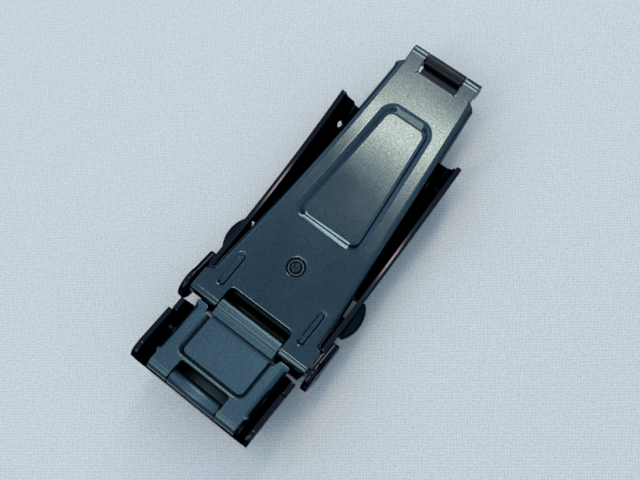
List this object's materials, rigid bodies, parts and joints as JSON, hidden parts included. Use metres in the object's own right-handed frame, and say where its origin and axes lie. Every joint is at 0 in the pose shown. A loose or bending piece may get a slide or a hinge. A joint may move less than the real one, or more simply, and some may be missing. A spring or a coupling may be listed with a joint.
{
  "type": "deployant clasp",
  "caption": "Push-button folding clasp for a metal watch bracelet, with two curved blades, a channel-shaped outer cover and a hinged extension link.",
  "frame": {"origin": "centre of the closed clasp's footprint, at the lowest point of the outer cover", "axes": "+X along the clasp to the fold hinge of the two blades, +Y to the left button, +Z from the outer cover to the skin side"},
  "size_m": [0.0536, 0.0208, 0.0102],
  "materials": {
    "polished_black_steel": "polished, black ion plated",
    "matte_black_steel": "fine matte, black ion plated",
    "black_button_steel": "satin, black ion plated",
    "bare_steel": "drawn and stamped, bare",
    "spring_wire": "bright drawn wire"
  },
  "bodies": {
    "cover": {"cover_shell": "polished_black_steel", "left_ear": "polished_black_steel", "right_ear": "polished_black_steel", "cover_hinge_pin": "bare_steel", "latch_bridge": "bare_steel"},
    "left_button": {"left_button": "black_button_steel", "left_catch": "bare_steel", "left_spring": "spring_wire"},
    "right_button": {"right_button": "black_button_steel", "right_catch": "bare_steel", "right_spring": "spring_wire"},
    "middle_blade": {"middle_blade": "matte_black_steel"},
    "inner_blade": {"inner_blade": "matte_black_steel", "lock_stud": "matte_black_steel", "stud_ring": "matte_black_steel", "fold_pin": "bare_steel", "link_pin": "bare_steel"},
    "extension_plate": {"extension_plate": "matte_black_steel", "extension_pin": "bare_steel"},
    "adjuster_box": {"adjuster_box": "polished_black_steel", "box_tongue": "matte_black_steel"}
  },
  "joints": [
    {"name": "left_press", "type": "slide", "parent": "cover", "child": "left_button", "axis": [0, -1, 0], "range_m": [0, 0.00075], "stiffness_N_per_m": 1200, "springref_m": -0.0008, "deforming": ["left_spring"]},
    {"name": "right_press", "type": "slide", "parent": "cover", "child": "right_button", "axis": [0, 1, 0], "range_m": [0, 0.00075], "stiffness_N_per_m": 1200, "springref_m": -0.0008, "deforming": ["right_spring"]},
    {"name": "cover_hinge", "type": "hinge", "parent": "cover", "child": "middle_blade", "pos_m": [-0.01477, 0, 0.00425], "axis": [0, -1, 0], "range_deg": [0, 170]},
    {"name": "fold_hinge", "type": "hinge", "parent": "middle_blade", "child": "inner_blade", "pos_m": [0.02583, 0, 0.0066], "axis": [0, 1, 0], "range_deg": [0, 170]},
    {"name": "link_hinge", "type": "hinge", "parent": "inner_blade", "child": "extension_plate", "pos_m": [-0.01477, 0, 0.0066], "axis": [0, 1, 0], "range_deg": [0, 45]},
    {"name": "extension_hinge", "type": "hinge", "parent": "extension_plate", "child": "adjuster_box", "pos_m": [-0.02498, 0, 0.0084], "axis": [0, 1, 0], "range_deg": [0, 160]}
  ],
  "couplings": [
    {"joint": "fold_hinge", "follows": "cover_hinge", "ratio": 1}
  ]
}
